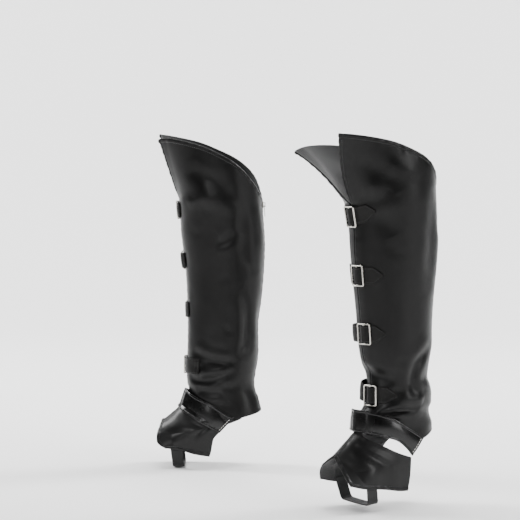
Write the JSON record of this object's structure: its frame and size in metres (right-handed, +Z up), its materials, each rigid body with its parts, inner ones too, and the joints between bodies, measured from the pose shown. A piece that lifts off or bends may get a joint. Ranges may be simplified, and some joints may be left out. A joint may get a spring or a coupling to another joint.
{
  "type": "pair of boot covers",
  "caption": "Tall faux leather boot covers as worn: knee-notched shafts with back zips and buckled front straps, instep bands, and spats held by an elastic under the sole.",
  "frame": {"origin": "the middle of the left cover's ankle hollow, 0.114 m above the floor that both shoes stand on", "axes": "+Z up, -X the way the wearer faces; the left cover stands at the origin with its foot turned 33 degrees towards -Y, and the right one behind it at -X, +Y with its foot along -X"},
  "size_m": [0.4306, 0.4993, 0.5482],
  "materials": {
    "shaft_faux_leather": "black smooth faux leather with a soft sheen",
    "strap_faux_leather": "matt black faux leather, slightly warmer than the shaft",
    "band_faux_leather": "black faux leather, a little glossier than the shaft",
    "spat_faux_leather": "black faux leather with a soft gloss",
    "zip_tape": "black woven polyester",
    "zip_metal": "nickel-plated",
    "buckle_metal": "nickel-plated, lightly brushed",
    "elastic": "black ribbed elastic webbing"
  },
  "bodies": {
    "covers": {"left_shaft_lateral": "shaft_faux_leather", "left_shaft_medial": "shaft_faux_leather", "left_strap_1": "strap_faux_leather", "left_strap_2": "strap_faux_leather", "left_strap_3": "strap_faux_leather", "left_strap_4": "strap_faux_leather", "left_buckle_1": "buckle_metal", "left_buckle_2": "buckle_metal", "left_buckle_3": "buckle_metal", "left_buckle_4": "buckle_metal", "left_zip_tape_lateral": "zip_tape", "left_zip_tape_medial": "zip_tape", "left_zip_teeth": "zip_metal", "left_zip_slider": "zip_metal", "left_band_lateral": "band_faux_leather", "left_band_medial": "band_faux_leather", "left_spat_lateral": "spat_faux_leather", "left_spat_medial": "spat_faux_leather", "left_understrap": "elastic", "right_shaft_lateral": "shaft_faux_leather", "right_shaft_medial": "shaft_faux_leather", "right_strap_1": "strap_faux_leather", "right_strap_2": "strap_faux_leather", "right_strap_3": "strap_faux_leather", "right_strap_4": "strap_faux_leather", "right_buckle_1": "buckle_metal", "right_buckle_2": "buckle_metal", "right_buckle_3": "buckle_metal", "right_buckle_4": "buckle_metal", "right_zip_tape_lateral": "zip_tape", "right_zip_tape_medial": "zip_tape", "right_zip_teeth": "zip_metal", "right_zip_slider": "zip_metal", "right_band_lateral": "band_faux_leather", "right_band_medial": "band_faux_leather", "right_spat_lateral": "spat_faux_leather", "right_spat_medial": "spat_faux_leather", "right_understrap": "elastic"},
    "left_pull": {"left_zip_pull": "zip_metal"},
    "right_pull": {"right_zip_pull": "zip_metal"}
  },
  "joints": [
    {"name": "left_pull_hinge", "type": "hinge", "parent": "covers", "child": "left_pull", "pos_m": [0.04967, 0.03225, 0.31858], "axis": [0.5446, -0.8387, 0], "range_deg": [0, 150]},
    {"name": "right_pull_hinge", "type": "hinge", "parent": "covers", "child": "right_pull", "pos_m": [-0.19356, 0.3306, 0.31832], "axis": [0, -1, 0], "range_deg": [0, 150]}
  ]
}
